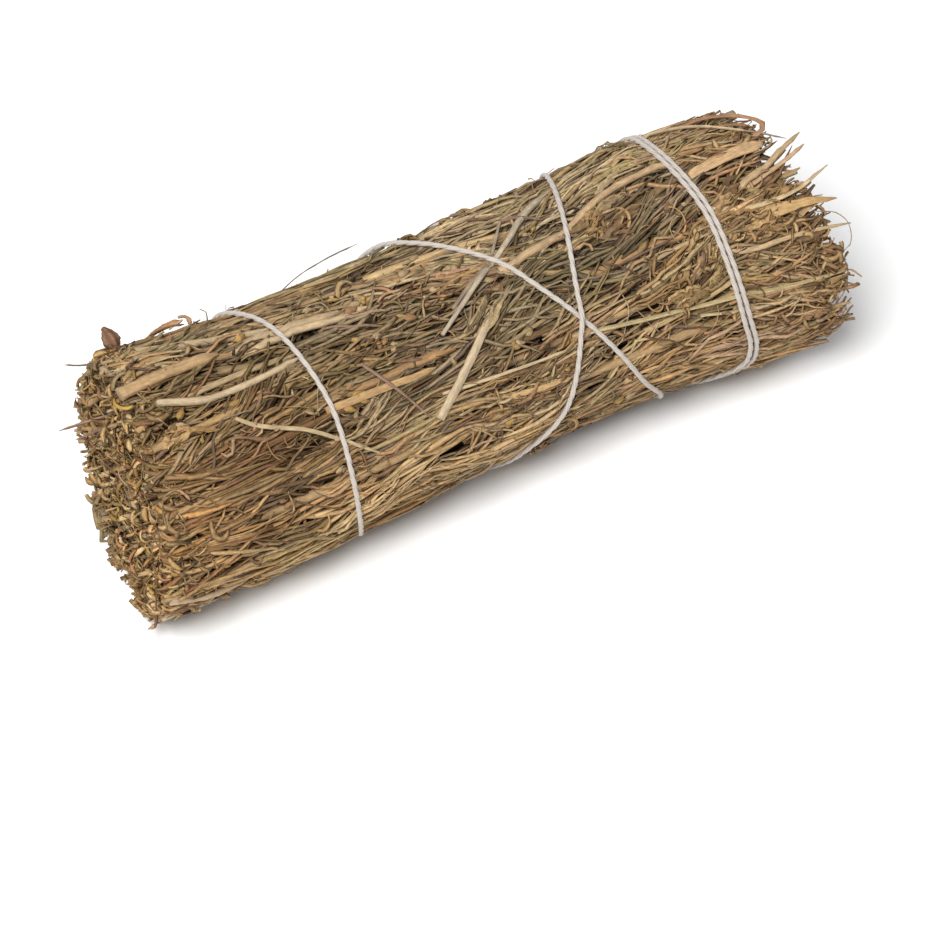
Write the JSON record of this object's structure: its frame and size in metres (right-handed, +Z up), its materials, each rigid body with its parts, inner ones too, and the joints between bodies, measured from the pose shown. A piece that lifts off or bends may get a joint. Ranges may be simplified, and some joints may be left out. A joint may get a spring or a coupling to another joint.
{
  "type": "smudge stick",
  "caption": "Smudge stick of dried leafy sprigs and bare stems packed lengthwise and bound by one wound cotton string, lying on its side.",
  "frame": {"origin": "bottom centre of the bundle's box, on the surface the bundle lies on", "axes": "+Z up, +X along the bundle from the cut stem ends to the splayed tips, -Y the side that faces the viewer"},
  "size_m": [0.1262, 0.0453, 0.0418],
  "materials": {
    "dried_sprig": "matte dried leaf",
    "bare_stem": "satin dry bark",
    "cotton_string": "matte cotton"
  },
  "bodies": {
    "root": {"sprig_01": "dried_sprig", "sprig_02": "dried_sprig", "sprig_03": "dried_sprig", "sprig_04": "dried_sprig", "sprig_05": "dried_sprig", "sprig_06": "dried_sprig", "sprig_07": "dried_sprig", "sprig_08": "dried_sprig", "sprig_09": "dried_sprig", "sprig_10": "dried_sprig", "sprig_11": "dried_sprig", "sprig_12": "dried_sprig", "sprig_13": "dried_sprig", "sprig_14": "dried_sprig", "sprig_15": "dried_sprig", "sprig_16": "dried_sprig", "sprig_17": "dried_sprig", "sprig_18": "dried_sprig", "sprig_19": "dried_sprig", "sprig_20": "dried_sprig", "sprig_21": "dried_sprig", "sprig_22": "dried_sprig", "sprig_23": "dried_sprig", "sprig_24": "dried_sprig", "sprig_25": "dried_sprig", "sprig_26": "dried_sprig", "sprig_27": "dried_sprig", "sprig_28": "dried_sprig", "stem_01": "bare_stem", "stem_02": "bare_stem", "stem_03": "bare_stem", "stem_04": "bare_stem", "stem_05": "bare_stem", "stem_06": "bare_stem", "stem_07": "bare_stem", "stem_08": "bare_stem", "stem_09": "bare_stem", "stem_10": "bare_stem", "binding_string": "cotton_string"}
  },
  "joints": []
}
